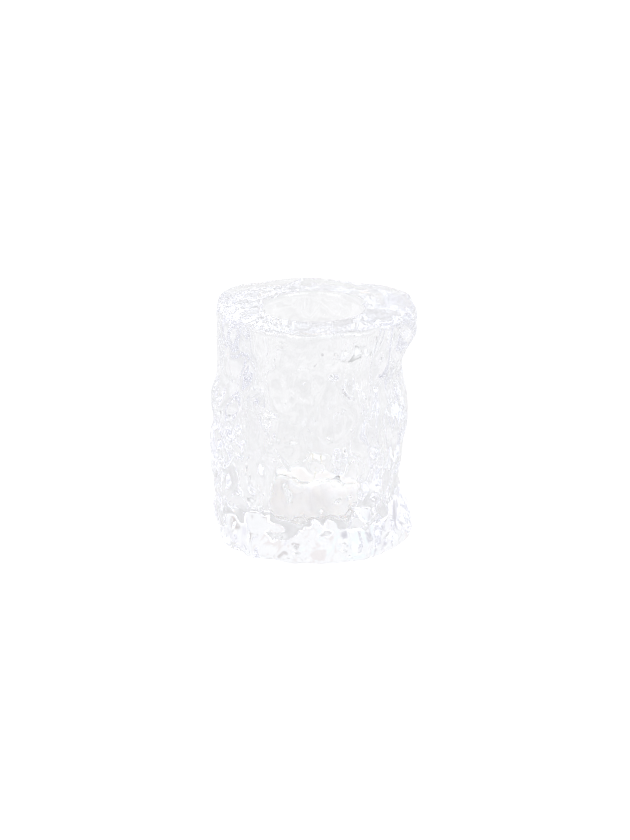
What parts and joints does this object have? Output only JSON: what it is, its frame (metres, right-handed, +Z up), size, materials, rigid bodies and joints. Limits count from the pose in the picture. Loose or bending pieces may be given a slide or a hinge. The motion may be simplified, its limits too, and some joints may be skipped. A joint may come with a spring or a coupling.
{
  "type": "tealight holder",
  "caption": "Thick clear cast-glass block with a rough, ice-like side, a smooth flat top and a deep round well that holds a tealight.",
  "frame": {"origin": "centre of the flat base, on the axis of the well", "axes": "+Z up along the well's axis and the longest way of the block; +X to the right and +Y away, seen from the front"},
  "size_m": [0.091, 0.0888, 0.105],
  "materials": {
    "clear_glass": "clear, fire-polished, rough-cast side",
    "clear_plastic": "clear, glossy",
    "white_wax": "white wax, slightly translucent",
    "cotton": "waxed cotton braid",
    "tinned_steel": "thin tinned plate"
  },
  "bodies": {
    "holder": {"glass_block": "clear_glass"},
    "tealight": {"tealight_cup": "clear_plastic", "tealight_wax": "white_wax", "wick": "cotton", "wick_foot": "tinned_steel"}
  },
  "joints": [
    {"name": "tealight_lift", "type": "slide", "parent": "holder", "child": "tealight", "axis": [0, 0, 1], "range_m": [0, 0.1]}
  ]
}
